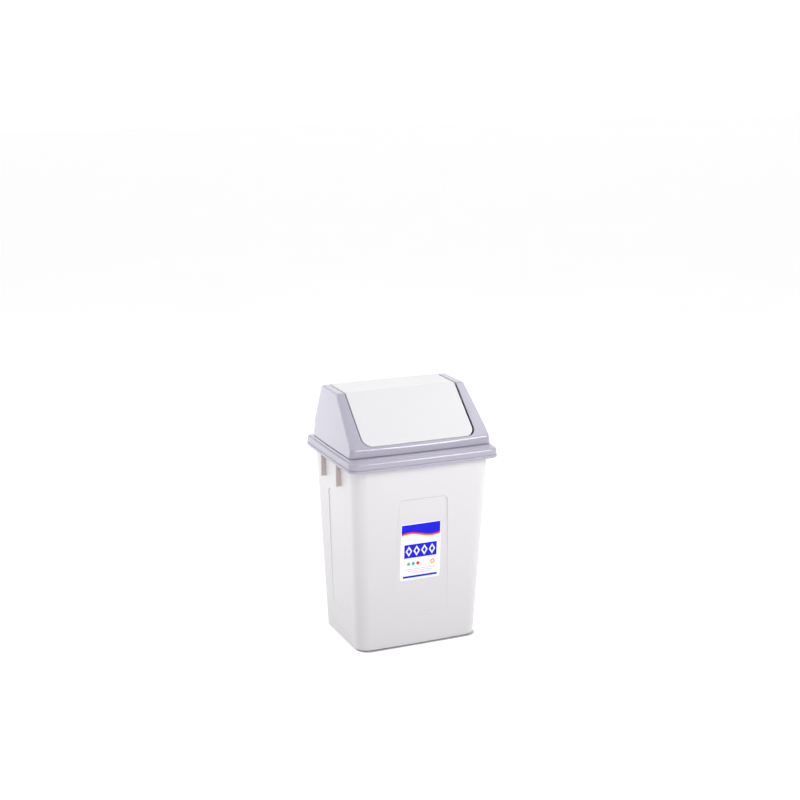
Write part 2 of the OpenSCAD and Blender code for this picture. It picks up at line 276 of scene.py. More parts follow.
def place(piece, body, node):
    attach(piece, body)
    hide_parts(node)


# ---- plan outlines ----

CORNER_STEPS = 10


def bowed(x, y, w, d):
    """A point of a w by d outline, moved out so that the sides bow."""
    return [x + BOW_SIDE * (1 - (2 * y / d) ** 2) * 2 * x / w,
            y + BOW_FRONT * (1 - (2 * x / w) ** 2) * 2 * y / d]


def plan_ring(ring, across, along, corner_steps=CORNER_STEPS):
    """Points round a rounded rectangle [width, depth, radius, height], the bow included.

    across and along say where the points of the long and short sides lie, from -1 to 1.
    """
    w, d, r, z = ring[0] - 2 * BOW_SIDE, ring[1] - 2 * BOW_FRONT, ring[2], ring[3]
    half_x, half_y = w / 2 - r, d / 2 - r
    sides = [
        ([(f * half_x, -d / 2) for f in across], (half_x, -half_y), -90),
        ([(w / 2, f * half_y) for f in along], (half_x, half_y), 0),
        ([(-f * half_x, d / 2) for f in across], (-half_x, half_y), 90),
        ([(-w / 2, -f * half_y) for f in along], (-half_x, -half_y), 180),
    ]
    points = []
    for straight, centre, start in sides:
        points += straight
        points += [(centre[0] + r * cosd(a), centre[1] + r * sind(a))
                   for a in steps(start, start + 90, corner_steps)[1:-1]]
    return [[*bowed(x, y, w, d), z] for x, y in points]


# ---- bucket ----

PANEL_MESH = 0.17          # spacing of the mesh where a panel's edge runs


def panel_lines(edge, end, inner_count, outer_count):
    """Positions from 0 to end, close together round a panel's edge."""
    fine_from, fine_to = edge - PANEL_R - 0.6, edge + 0.7
    count = round((fine_to - fine_from) / PANEL_MESH)
    return (steps(0, fine_from, inner_count)[:-1] + steps(fine_from, fine_to, count)[:-1]
            + steps(fine_to, end, outer_count))


def both_ways(half):
    return [-v for v in half[:0:-1]] + half


def wall_ring(z, inset=0, at=None):
    t = z / BUCKET_H
    return [mix(BASE_W, TOP_W, t) - 2 * inset, mix(BASE_D, TOP_D, t) - 2 * inset,
            max(mix(BASE_R, TOP_R, t) - inset, 1), z if at is None else at]


def rim_ring(inset, z):
    return [RIM_W - 2 * inset, RIM_D - 2 * inset, TOP_R + RIM_REACH - inset, z]


def panel_t(z):
    return min(max((z - PANEL_LOW_Z) / (PANEL_TOP_Z - PANEL_LOW_Z), 0), 1)


def side_fractions(length, radius, panel, z):
    """Where a ring's points lie along one side, as fractions from -1 to 1."""
    half = length / 2 - radius
    edge = mix(panel[1], panel[0], panel_t(z)) / 2
    return [v / half for v in both_ways(panel_lines(edge, half, 5, 6))]


def panel_mask(across, z, panel):
    """1 on a panel's floor, 0 outside it, a short slope between and a line at its foot."""
    edge = mix(panel[1], panel[0], panel_t(z)) / 2
    dx = abs(across) - edge + PANEL_R
    dz = max(z - PANEL_TOP_Z, PANEL_LOW_Z - z) + PANEL_R
    outside = math.hypot(max(dx, 0), max(dz, 0)) + min(max(dx, dz), 0) - PANEL_R
    from_line = min(abs(outside + PANEL_STEP) / PANEL_LINE_W, 1)
    return smooth(-outside / PANEL_STEP) + PANEL_LINE_D * smooth(1 - from_line)


def panel_floor(size_low, size_top, z):
    """Distance from the middle of the bin to a panel's floor, at height z."""
    low = size_low / 2 - PANEL_LOW_DEPTH
    top = size_top / 2 - PANEL_TOP_DEPTH
    return mix(low, top, (z - PANEL_LOW_Z) / (PANEL_TOP_Z - PANEL_LOW_Z))


LOW_RING, HIGH_RING = wall_ring(PANEL_LOW_Z), wall_ring(PANEL_TOP_Z)


def pressed(point):
    """A point of the outer wall, pressed in where a panel is."""
    x, y, z = point
    front = panel_floor(LOW_RING[1], HIGH_RING[1], z)
    side = panel_floor(LOW_RING[0], HIGH_RING[0], z)
    if abs(y) > front:
        y = math.copysign(mix(abs(y), front, panel_mask(x, z, FRONT_PANEL)), y)
    if abs(x) > side:
        x = math.copysign(mix(abs(x), side, panel_mask(y, z, SIDE_PANEL)), x)
    return [x, y, z]


def bucket_ring(ring, z):
    across = side_fractions(ring[0] - 2 * BOW_SIDE, ring[2], FRONT_PANEL, z)
    along = side_fractions(ring[1] - 2 * BOW_FRONT, ring[2], SIDE_PANEL, z)
    return plan_ring(ring, across, along)


def quarter(centre, radius, start, count=4):
    """Points [inset, z] on a quarter turn round `centre`, starting at `start` degrees."""
    return [[centre[0] + radius * cosd(a), centre[1] + radius * sind(a)]
            for a in steps(start, start + 90, count)]


def bucket_rings():
    """The bucket from the middle of its underside, up outside, and down inside."""
    ring_in = FOOT_INSET + FOOT_W
    bevel = RING_EDGE
    foot = ([[ring_in + 2, FOOT_H], [ring_in + 0.5, FOOT_H]]
            + [[ring_in, FOOT_H - bevel], [ring_in, bevel], [ring_in - bevel, 0]]
            + [[FOOT_INSET + bevel, 0], [FOOT_INSET, bevel], [FOOT_INSET, FOOT_H - bevel]]
            + [[FOOT_INSET - bevel, FOOT_H], [FOOT_EDGE + 0.2, FOOT_H]])
    # An inset grows inwards, so a turn that is convex outside starts at 270 degrees
    bottom = [[FOOT_EDGE - x, z] for x, z in
              quarter([0, FOOT_H + FOOT_EDGE], FOOT_EDGE, -90, 6)]
    rings = [bucket_ring(wall_ring(0, inset, z), 0) for inset, z in foot + bottom]

    half_h = (PANEL_TOP_Z - PANEL_LOW_Z) / 2
    middle = (PANEL_TOP_Z + PANEL_LOW_Z) / 2
    under_rim = BUCKET_H - RIM_T
    lines = panel_lines(half_h, half_h + 8, 9, 3)
    heights = [*PLAIN_LOW, *(middle + v for v in both_ways(lines)), *PLAIN_HIGH, under_rim - 1.5]
    for z in heights:
        rings.append([pressed(p) for p in bucket_ring(wall_ring(z), z)])
    rings += [bucket_ring(wall_ring(under_rim - below, -out), under_rim - below)
              for out, below in RIM_FILLET]

    lip_z = BUCKET_H - RIM_DROP
    lip = ([[RIM_LIP_T + LIP_FILLET, under_rim], [RIM_LIP_T, under_rim - LIP_FILLET]]
           + [[RIM_LIP_T, lip_z + LIP_EDGE], [RIM_LIP_T - LIP_EDGE, lip_z]]
           + [[LIP_EDGE, lip_z], [0, lip_z + LIP_EDGE]]
           + [[RIM_EDGE - x, z] for x, z in quarter([0, BUCKET_H - RIM_EDGE], RIM_EDGE, 0)])
    rings += [bucket_ring(rim_ring(inset, z), PANEL_TOP_Z) for inset, z in lip]

    cut = 0.3 * MOUTH_EDGE
    mouth = [[WALL_T - 1.5 * MOUTH_EDGE, BUCKET_H], [WALL_T - MOUTH_EDGE, BUCKET_H],
             [WALL_T - cut, BUCKET_H - cut], [WALL_T, BUCKET_H - MOUTH_EDGE]]
    rings += [bucket_ring(wall_ring(BUCKET_H, inset, z), PANEL_TOP_Z) for inset, z in mouth]
    rings += [bucket_ring(wall_ring(z, WALL_T), z) for z in (180, 120, 60, FLOOR_Z + FLOOR_ROUND)]
    floor = [[FLOOR_ROUND * (1 - cosd(a)), FLOOR_Z + FLOOR_ROUND * (1 - sind(a))]
             for a in (15, 30, 45, 60, 75, 90)]
    rings += [bucket_ring(wall_ring(FLOOR_Z, WALL_T + inset, z), 0)
              for inset, z in floor + [[FLOOR_ROUND + 1, FLOOR_Z]]]
    return rings


def add_rib(skin, side, y):
    """One rib, a thin plate with rounded outer edges standing out from the wall."""
    foot_z = BUCKET_H - RIB_DROP
    tip = RIM_W / 2 - RIB_TIP_IN
    half = RIB_T / 2

    def outline(inset, z):
        root = wall_ring(z)[0] / 2 - WALL_T / 2
        r = RIB_EDGE
        corner = [[r * sind(a), r * cosd(a)]
                  for a in (0, 30, 60, 90)]
        right = [[tip - inset - r + s, half - inset - r + c] for s, c in corner]
        ends = [[root, half - inset]] + right
        ends += [[x, -v] for x, v in reversed(ends)]
        return [[side * x, y + v, z] for x, v in ends]

    skin.solid([outline(inset, foot_z + up) for inset, up in RIB_FOOT]
               + [outline(0, BUCKET_H - RIM_T / 2)])


def make_bucket(material, shaded_rib_material):
    skin, ribs = Skin(), Skin()
    skin.solid(bucket_rings())
    for side in (-1, 1):
        for end in (-1, 1):
            add_rib(ribs, side, end * RIB_PITCH / 2)
    place(mesh_object("bucket_shell", skin, material), "bin", "bucket")
    # The ribs take a darker, warmer copy of the bucket plastic: painted shade under the skirt
    place(mesh_object("bucket_ribs", ribs, shaded_rib_material), "bin", "bucket")


# ---- label ----

def make_label(material):
    """A thin sheet with rounded corners, flat on the floor of the front panel."""
    low = panel_floor(LOW_RING[1], HIGH_RING[1], PANEL_LOW_Z)
    high = panel_floor(LOW_RING[1], HIGH_RING[1], PANEL_TOP_Z)
    tilt = math.atan2(high - low, PANEL_TOP_Z - PANEL_LOW_Z)
    middle = panel_floor(LOW_RING[1], HIGH_RING[1], LABEL_Z)

    def outline(inset, out):
        ring = []
        r = LABEL_R - inset
        for turn, sx, sz in ((0, 1, 1), (90, -1, 1), (180, -1, -1), (270, 1, -1)):
            for a in steps(turn, turn + 90, 8):
                ring.append((sx * (LABEL_W / 2 - LABEL_R) + r * cosd(a),
                             sz * (LABEL_H / 2 - LABEL_R) + r * sind(a)))
        return [[x + LABEL_X, -middle - out * math.cos(tilt) - up * math.sin(tilt),
                 LABEL_Z + up * math.cos(tilt) - out * math.sin(tilt)] for x, up in ring]

    skin = Skin()
    skin.solid([outline(0, LABEL_LIFT), outline(0, LABEL_T - LABEL_EDGE),
                outline(LABEL_EDGE, LABEL_T)])
    place(mesh_object("label_sheet", skin, material), "bin", "label")


# ---- side views of the hood and the flap ----

# A row of the sheet, which runs along X. (y, z) is its place and (ny, nz) its outward
# normal, (ty, tz) points away from the nearer foot, follow and climb say how it shifts
# where the wall bows, rho is the radius of the hood's edge there, and (half, turn) is the
# edge of the opening or flap on that row: its distance from the middle, and how far it has
# turned round the corner, in degrees.
Row = namedtuple("Row", "y z ny nz ty tz follow climb rho half turn")


def bend(corner, into, out, radius, count):
    """Points and normals round a bend to the right, between two straight directions."""
    n_in, n_out = [-into[1], into[0]], [-out[1], out[0]]
    whole = math.acos(min(1, n_in[0] * n_out[0] + n_in[1] * n_out[1]))
    back = radius * math.tan(whole / 2)
    centre = [corner[i] - into[i] * back - n_in[i] * radius for i in (0, 1)]
    start = math.atan2(n_in[1], n_in[0])
    found = []
    for a in steps(start, start - whole, count):
        normal = [math.cos(a), math.sin(a)]
        found.append(([centre[0] + radius * normal[0], centre[1] + radius * normal[1]], normal))
    return found


def half_rows(ridge_y, border, half_w, corner_r, with_wall):
    """Rows from the front foot to the flat top. border is how far up the slope from the
    fold the opening's or flap's edge lies, half_w and corner_r are its half width and corner."""
    fold = [-HOOD_D / 2, FOLD_Z]
    up, top = [0, 1], [1, 0]
    slope = unit([ridge_y - fold[0], TOP_Z - FOLD_Z])
    slope_n = [-slope[1], slope[0]]
    climb = slope[1] / slope[0]
    rows = []

    def edge_radius(dist):
        return mix(HOOD_R, HOOD_EDGE, smooth(dist / EDGE_FADE))

    def add(place_at, normal, follow, climb_now, dist, half=None, turn=0):
        tangent = [normal[1], -normal[0]]
        rows.append(Row(*place_at, *normal, *tangent, follow, climb_now,
                        edge_radius(dist), half, turn))

    def on_slope(dist):
        return [fold[0] + slope[0] * dist, fold[1] + slope[1] * dist]

    if with_wall:
        folded = bend(fold, up, slope, FOLD_R, 5)
        (_, start_z), (end_y, end_z) = folded[0][0], folded[-1][0]
        for z in steps(FOOT_Z + FOOT_GROOVE_H, start_z, 3)[:-1]:
            add([fold[0], z], [-1, 0], 1, climb * (z - FOOT_Z) / (FOLD_Z - FOOT_Z), 0)
        for spot, normal in folded:
            add(spot, normal, 1, climb, 0)
        first = math.hypot(end_y - fold[0], end_z - fold[1])
        for dist in steps(first, border, 4)[1:-1]:
            part = 1 - (dist - first) / (border - first)
            add(on_slope(dist), slope_n, part, part * climb, dist)
    for a in steps(0, 90, 9):
        dist = border + corner_r * (1 - cosd(a))
        half = half_w - corner_r * (1 - sind(a))
        add(on_slope(dist), slope_n, 0, 0, dist, half, a)
    ridge = bend([ridge_y, TOP_Z], slope, top, RIDGE_R, 8)
    end = math.hypot(ridge[0][0][0] - fold[0], ridge[0][0][1] - fold[1])
    for dist in steps(border + corner_r, end, 9)[1:-1]:
        add(on_slope(dist), slope_n, 0, 0, dist, half_w, 90)
    for spot, normal in ridge:
        add(spot, normal, 0, 0, end, half_w, 90)
    return rows


def mirrored(row):
    return row._replace(y=-row.y, ny=-row.ny, ty=-row.ty, follow=-row.follow)


def border_ring(rows, columns, sense):
    """The edge of the opening or the flap, as one ring of (index, direction, normal).

    columns holds the indices across each row; the directions lead over the edge, into the
    opening with sense 1 and out of the flap with sense -1.
    """
    first, last = min(columns), max(columns)

    def entry(i, index, way):
        row = rows[i]
        over = [-way * sind(row.turn), cosd(row.turn) * row.ty, cosd(row.turn) * row.tz]
        return index, [sense * c for c in over], [0, row.ny, row.nz]

    return ([entry(first, index, 0) for index in columns[first]]
            + [entry(i, columns[i][-1], 1) for i in range(first + 1, last)]
            + [entry(last, index, 0) for index in reversed(columns[last])]
            + [entry(i, columns[i][0], -1) for i in range(last - 1, first, -1)])


TOP_ROWS = 10


def all_rows(front, back, half_w):
    """Rows from the front foot, over the top, to the back foot."""
    back = [mirrored(row) for row in reversed(back)]
    flat = [front[-1]._replace(y=y, half=half_w)
            for y in steps(front[-1].y, back[0].y, TOP_ROWS)[1:-1]]
    return front + flat + back


# ---- lid frame ----

EDGE_STEPS = 7
STRIP_STEPS = 5
MIDDLE_STEPS = 24
LEAST_R = 0.3              # of the hood's edges, inside


def side_x(y, z):
    """Half the hood's width at a point of its short sides."""
    return HOOD_W / 2 - BOW_SIDE * (2 * y / HOOD_D) ** 2 - HOOD_LEAN * (z - FOOT_Z)


def front_bow(x):
    return BOW_FRONT * (2 * x / HOOD_W) ** 2


def hood_point(row, x, inset):
    """A point of the sheet on this row, `inset` under its outer face."""
    bow = front_bow(x)
    return [x, row.y - row.ny * inset + row.follow * bow,
            row.z - row.nz * inset + row.climb * bow]


def hood_edge(row, inset):
    """Points from the short side round to the sheet, on the right; the last is on the sheet."""
    centre_y, centre_z = row.y - row.ny * row.rho, row.z - row.nz * row.rho
    bow = front_bow(side_x(centre_y, centre_z) - row.rho / LEAN_COS)
    centre_y, centre_z = centre_y + row.follow * bow, centre_z + row.climb * bow
    centre_x = side_x(centre_y, centre_z) - row.rho / LEAN_COS
    side_n = [LEAN_COS, 0, HOOD_LEAN * LEAN_COS]
    sheet_n = [0, row.ny, row.nz]
    whole = math.acos(side_n[2] * sheet_n[2])
    radius = max(row.rho - inset, LEAST_R)
    points = []
    for t in steps(0, 1, EDGE_STEPS):
        a = math.sin((1 - t) * whole) / math.sin(whole)
        b = math.sin(t * whole) / math.sin(whole)
        normal = [a * s + b * f for s, f in zip(side_n, sheet_n)]
        points.append([c + radius * n for c, n in zip((centre_x, centre_y, centre_z), normal)])
    return points


def flip(points):
    return [[-p[0], *p[1:]] for p in points]


class Hood:
    """One face of the hood, outer or inner, with the opening left out."""

    def __init__(self, skin, rows, inset):
        self.skin, self.rows, self.inset = skin, rows, inset
        first_open = next(i for i, row in enumerate(rows) if row.half is not None)
        last_open = len(rows) - 1 - next(
            i for i, row in enumerate(reversed(rows)) if row.half is not None)
        self.opened = range(first_open, last_open + 1)
        corner_x = rows[first_open].half
        self.right, self.left, self.middle = [], [], {}
        for i, row in enumerate(rows):
            edge = hood_edge(row, inset)
            inner_x = corner_x if row.half is None else row.half
            strip = [hood_point(row, x, inset)
                     for x in steps(edge[-1][0], inner_x, STRIP_STEPS)[1:]]
            self.right.append(skin.add(edge + strip))
            self.left.append(skin.add(flip(edge + strip)))
            if row.half is None or i in (first_open, last_open):
                inside = [hood_point(row, x, inset)
                          for x in steps(-inner_x, inner_x, MIDDLE_STEPS)[1:-1]]
                self.middle[i] = [self.left[i][-1], *skin.add(inside), self.right[i][-1]]
        for i in range(len(rows) - 1):
            skin.bridge(self.right[i], self.right[i + 1], closed=False)
            skin.bridge(self.left[i], self.left[i + 1], closed=False)
            if i in self.middle and i + 1 in self.middle and not (
                    i in self.opened and i + 1 in self.opened):
                skin.bridge(self.middle[i], self.middle[i + 1], closed=False)
        self.sides = [self.side_face(self.right, 1), self.side_face(self.left, -1)]

    def side_face(self, columns, way):
        """The leaning short side: lines from the front edge across to the back edge.
        Returns the lowest line."""
        levels = (len(self.rows) - TOP_ROWS) // 2
        lines = []
        for k in range(levels - 1):
            front, back = columns[k][0], columns[-1 - k][0]
            a, b = self.skin.points[front], self.skin.points[back]
            inside = []
            for t in steps(0, 1, TOP_ROWS)[1:-1]:
                p = mix_points(a, b, t)
                x = side_x(p[1], p[2]) - self.inset / LEAN_COS
                inside.append([way * x, p[1], p[2]])
            lines.append([front, *self.skin.add(inside), back])
        top = [columns[i][0] for i in range(levels, levels + TOP_ROWS - 1)]
        lines.append([columns[levels - 1][0], *top, columns[levels + TOP_ROWS - 1][0]])
        for a, b in zip(lines, lines[1:]):
            self.skin.bridge(a, b, closed=False)
        return lines[0]

    def foot(self):
        """The lowest points as one ring, starting at the left end of the front."""
        front = self.left[0] + self.middle[0][1:-1] + self.right[0][::-1]
        back = self.right[-1] + self.middle[len(self.rows) - 1][-2:0:-1] + self.left[-1][::-1]
        return front + self.sides[0][1:-1] + back + self.sides[1][-2:0:-1]

    def border(self):
        """The opening's edge, with directions into the opening."""
        columns = {i: (self.left[i][-1], self.right[i][-1]) for i in self.opened}
        for i in (self.opened[0], self.opened[-1]):
            columns[i] = self.middle[i]
        return border_ring(self.rows, columns, 1)


def moved(point, direction, by, normal, sink):
    return [p + d * by - n * sink for p, d, n in zip(point, direction, normal)]


def round_lip(skin, outer, inner, radius):
    """Joins the outer and inner faces round an edge, both corners rounded."""
    rings = [[entry[0] for entry in outer]]
    for face, sign, angles in ((outer, 1, (22.5, 45, 67.5, 90)), (inner, -1, (90, 67.5, 45, 22.5))):
        for a in angles:
            out = radius * sind(a)
            sink = sign * radius * (1 - cosd(a))
            rings.append(skin.add([moved(skin.points[index], into, out, normal, sink)
                                   for index, into, normal in face]))
    rings.append([entry[0] for entry in inner])
    skin.join(rings)


def foot_matched_ring(hood, ring):
    """A plan ring with its points lined up with the hood's foot."""
    edge_x = hood.skin.points[hood.right[0][EDGE_STEPS]][0]
    columns = (hood.left[0][EDGE_STEPS:] + hood.middle[0][1:-1]
               + hood.right[0][:EDGE_STEPS - 1:-1])
    across = [hood.skin.points[i][0] / edge_x for i in columns]
    points = plan_ring(ring, across, steps(-1, 1, TOP_ROWS), EDGE_STEPS)
    # plan_ring starts where the front's straight part does; the hood's ring starts
    # with the front left corner, which plan_ring has at its end
    return points[-EDGE_STEPS:] + points[:-EDGE_STEPS]


def skirt_ring(inset, z):
    return [SKIRT_W - 2 * inset, SKIRT_D - 2 * inset, max(SKIRT_R - inset, 1), z]


def hood_ring(inset, z):
    return [HOOD_W - 2 * inset, HOOD_D - 2 * inset, max(HOOD_R - inset, 1), z]


# The undercut at the hood's foot, (inset, under its top), and its floor, (inset, over the ledge)
GROOVE_TOP = ((0.15, 0.12), (FOOT_GROOVE_D - 0.1, 0.15), (FOOT_GROOVE_D, 0.25))
GROOVE_FLOOR = ((FOOT_GROOVE_D, 0.15), (FOOT_GROOVE_D - 0.15, 0), (-0.3, -0.03))
# The groove over the skirt's bead and the bead's top edge, (inset, over the bead's top)
BEAD_TOP = ((BEAD_OUT, 1.4), (BEAD_OUT, 0.95), (BEAD_OUT + 0.4, 0.7), (BEAD_OUT + 0.5, 0.5),
            (BEAD_OUT + 0.45, 0.1), (0.15, -0.1), (0, -0.4), (0, -0.8))
# The skirt's foot, (inset, over its lowest point), and the inner corner under the ledge,
# (inset, under the ledge's underside)
SKIRT_FOOT = ((0, 1), (0, 0.6), (0.18, 0.18), (0.6, 0), (FRAME_T - 0.4, 0), (FRAME_T, 0.4),
              (FRAME_T, 1))
UNDER_LEDGE = ((FRAME_T, 1.2), (FRAME_T + 0.3, 0.3), (FRAME_T + 1.2, 0))
INNER_FOOT_EDGE = 0.6      # bevel inside, where the ledge turns up into the hood


def skirt_profile():
    """Rings from the foot of the hood out over the ledge, down, and back up inside."""
    edge_in = BEAD_OUT + SKIRT_EDGE
    rings = [hood_ring(inset, FOOT_Z + FOOT_GROOVE_H - under) for inset, under in GROOVE_TOP]
    rings += [hood_ring(inset, FOOT_Z + up) for inset, up in GROOVE_FLOOR]
    ledge_out, ledge_in = skirt_ring(edge_in, LEDGE_Z), rings[-1]
    rings += [mix_points(ledge_in, ledge_out, t) for t in (0.1, 0.5, 0.9)]
    rings += [skirt_ring(edge_in - SKIRT_EDGE * sind(a), LEDGE_Z - SKIRT_EDGE * (1 - cosd(a)))
              for a in steps(0, 90, 6)]
    rings += [skirt_ring(inset, SKIRT_Z + BEAD_H + up) for inset, up in BEAD_TOP]
    rings += [skirt_ring(inset, SKIRT_Z + up) for inset, up in SKIRT_FOOT]
    rings += [skirt_ring(inset, LEDGE_Z - FRAME_T - under) for inset, under in UNDER_LEDGE]
    rings += [hood_ring(FRAME_T - INNER_FOOT_EDGE, FOOT_Z - FRAME_T),
              hood_ring(FRAME_T, FOOT_Z - FRAME_T + INNER_FOOT_EDGE)]
    return rings


def pivot_ring(x, radius, turns):
    """Points round the flap's pivot, x from the middle."""
    return [[x, PIVOT[0] + radius * cosd(a), PIVOT[1] + radius * sind(a)] for a in turns]


def add_ear(skin, side):
    """An ear under the flat top, with the bore that carries a pin."""
    top = TOP_Z - FRAME_T / 2 - PIVOT[1]       # it ends inside the flat top
    turns = steps(0, 360, 72)[:-1]

    def rim(inset, x):
        """Round under the pivot, square over it."""
        ring = []
        for a in turns:
            reach = BOSS_R - inset
            if sind(a) > 0:
                reach = min(reach / max(abs(cosd(a)), 1e-9), top / sind(a))
            ring += pivot_ring(side * x, reach, [a])
        return ring

    def bore(radius, x):
        return pivot_ring(side * x, radius, turns)

    near, far = OPENING_W / 2, OPENING_W / 2 + EAR_T
    bore_r, edge = BORE_D / 2, EAR_EDGE
    indices = skin.loft([bore(bore_r, near + edge), bore(bore_r + edge, near), rim(edge, near),
                         rim(0, near + edge), rim(0, far - edge), rim(edge, far),
                         bore(bore_r + edge, far), bore(bore_r, far - edge)])
    skin.bridge(indices[-1], indices[0])


def make_lid_frame(material):
    skin = Skin()
    half, radius = OPENING_W / 2 + LIP_R, OPENING_R + LIP_R
    rows = all_rows(half_rows(FRONT_RIDGE_Y, FRONT_STRIP - LIP_R, half, radius, True),
                    half_rows(-BACK_RIDGE_Y, BACK_STRIP - LIP_R, half, radius, True), half)
    outer, inner = Hood(skin, rows, 0), Hood(skin, rows, FRAME_T)
    round_lip(skin, outer.border(), inner.border(), LIP_R)
    rings = [outer.foot()]
    rings += [skin.add(foot_matched_ring(outer, ring)) for ring in skirt_profile()]
    rings.append(inner.foot())
    skin.join(rings)
    for side in (-1, 1):
        add_ear(skin, side)
    place(mesh_object("lid_frame_shell", skin, material), "lid", "lid_frame")


# ---- swing flap ----

FLAP_COLUMNS = 36


def flap_face(skin, rows, depth):
    """A face of the flap's sheet, `depth` under its outer one. Returns its index rows."""
    grid = []
    for row in rows:
        sink = depth - FLAP_PROUD
        grid.append(skin.add([[f * row.half, row.y - row.ny * sink, row.z - row.nz * sink]
                              for f in steps(-1, 1, FLAP_COLUMNS)]))
    for a, b in zip(grid, grid[1:]):
        skin.bridge(a, b, closed=False)
    return grid


def join_flap_edge(skin, outer, inner):
    """Rounds the outer edge of the flap's sheet and closes it to the inner face."""
    rings = [[entry[0] for entry in outer]]
    sinks = [(FLAP_EDGE * sind(a), FLAP_EDGE * (1 - cosd(a))) for a in (18, 36, 54, 72, 90)]
    sinks += [(FLAP_EDGE, FLAP_T - FLAP_INNER_EDGE), (FLAP_EDGE - 0.1, FLAP_T - 0.1),
              (FLAP_EDGE - FLAP_INNER_EDGE, FLAP_T)]
    for out, sink in sinks:
        rings.append(skin.add([moved(skin.points[index], way, out, normal, sink)
                               for index, way, normal in outer]))
    rings.append([entry[0] for entry in inner])
    skin.join(rings)


def add_front_flange(skin, border, rows):
    """The flange under the flap's front edge and round its two corners."""
    corner = sum(1 for row in rows[:len(rows) // 2] if row.turn < 90)
    path = border[-corner:] + border[:FLAP_COLUMNS + 1 + corner]
    low = FLAP_T + FRONT_FLANGE_D
    outer, inner, bevel = FLAP_EDGE - FLANGE_IN, FLAP_EDGE - FLAP_T, FLANGE_BEVEL
    section = [(outer, FLAP_T / 2), (outer, low - bevel), (outer - bevel, low),
               (inner + bevel, low), (inner, low - bevel), (inner, FLAP_T / 2)]
    down = [0, -rows[0].ty, -rows[0].tz]

    def flared(index, out, normal):
        """The section at one point, leaning out at the front as the flap's swing allows."""
        share = sum(p * q for p, q in zip(out, down))
        return [moved(moved(skin.points[index], out, by, normal, sink), down,
                      FLANGE_FLARE * share * (sink - FLAP_T / 2), normal, 0)
                for by, sink in section]

    skin.solid([flared(index, out, normal) for index, out, normal in path])


def add_flange(skin, side, rows):
    """The stiffening flange under one end of the flap, deeper round the pin."""
    start = next(i for i, row in enumerate(rows) if row.turn == 90)
    stop = len(rows) - 1 - next(i for i, row in enumerate(reversed(rows)) if row.turn == 90)
    sink = FLAP_T / 2 - FLAP_PROUD
    top = [[row.y - row.ny * sink, row.z - row.nz * sink] for row in rows[start:stop + 1]]
    deep = FLANGE_D + FLAP_T - FLAP_PROUD
    first, last = rows[start], rows[stop]
    level = TOP_Z - deep

    front_end = [first.y - first.ny * deep, first.z - first.nz * deep]
    back_end = [last.y - last.ny * deep, last.z - last.nz * deep]
    back_turn = [back_end[0] + last.ty * (level - back_end[1]) / last.tz, level]
    swing = math.degrees(math.asin((PIVOT[1] - level) / BOSS_R))
    turns = steps(-swing, -180 + swing, 16)
    # The boss ends where it meets the line `deep` under the front slope
    boss = [[y, z] for _, y, z in pivot_ring(0, BOSS_R, turns)
            if (y - front_end[0]) * first.ny + (z - front_end[1]) * first.nz < 0]
    outline = top + [back_end, back_turn, *boss, front_end]
    far = FLAP_W / 2 - FLANGE_IN
    near = far - FLAP_T
    skin.solid([[[side * x, y, z] for y, z in outline] for x in (near, far)])


def add_pin(skin, side):
    """A stub pin with its collar, turned about X."""
    far = flap_box[1][0]
    near = FLAP_W / 2 + FLAP_SHIFT - PIN_ROOT
    collar_r, pin_r = PIN_D / 2 + BOSS_WALL / 2, PIN_D / 2
    shoulder = OPENING_W / 2 - COLLAR_GAP
    profile = [[near, AXIS_R], [near, collar_r], [shoulder - COLLAR_EDGE, collar_r],
               [shoulder, collar_r - COLLAR_EDGE], [shoulder, pin_r],
               *([far - back, pin_r - off] for back, off in PIN_TIP), [far, AXIS_R]]
    turns = steps(0, 360, 40)[:-1]
    skin.solid([pivot_ring(side * x, r, turns) for x, r in profile])


def make_flap(material):
    skin = Skin()
    half = FLAP_W / 2 - FLAP_EDGE
    front = half_rows(FRONT_RIDGE_Y, FRONT_STRIP + FRONT_GAP + FLAP_EDGE, half,
                      FLAP_R - FLAP_EDGE, False)
    back = half_rows(-BACK_RIDGE_Y, BACK_STRIP + BACK_GAP + FLAP_EDGE, half,
                     FLAP_BACK_R - FLAP_EDGE, False)
    rows = all_rows(front, back, half)
    outer, inner = flap_face(skin, rows, 0), flap_face(skin, rows, FLAP_T)
    border = border_ring(rows, dict(enumerate(outer)), -1)
    join_flap_edge(skin, border, border_ring(rows, dict(enumerate(inner)), -1))
    add_front_flange(skin, border, rows)
    for side in (-1, 1):
        add_flange(skin, side, rows)
    skin.points = [(x + FLAP_SHIFT, y, z) for x, y, z in skin.points]
    for side in (-1, 1):
        add_pin(skin, side)
    place(mesh_object("swing_flap_shell", skin, material), "flap", "swing_flap")


# ---- materials ----

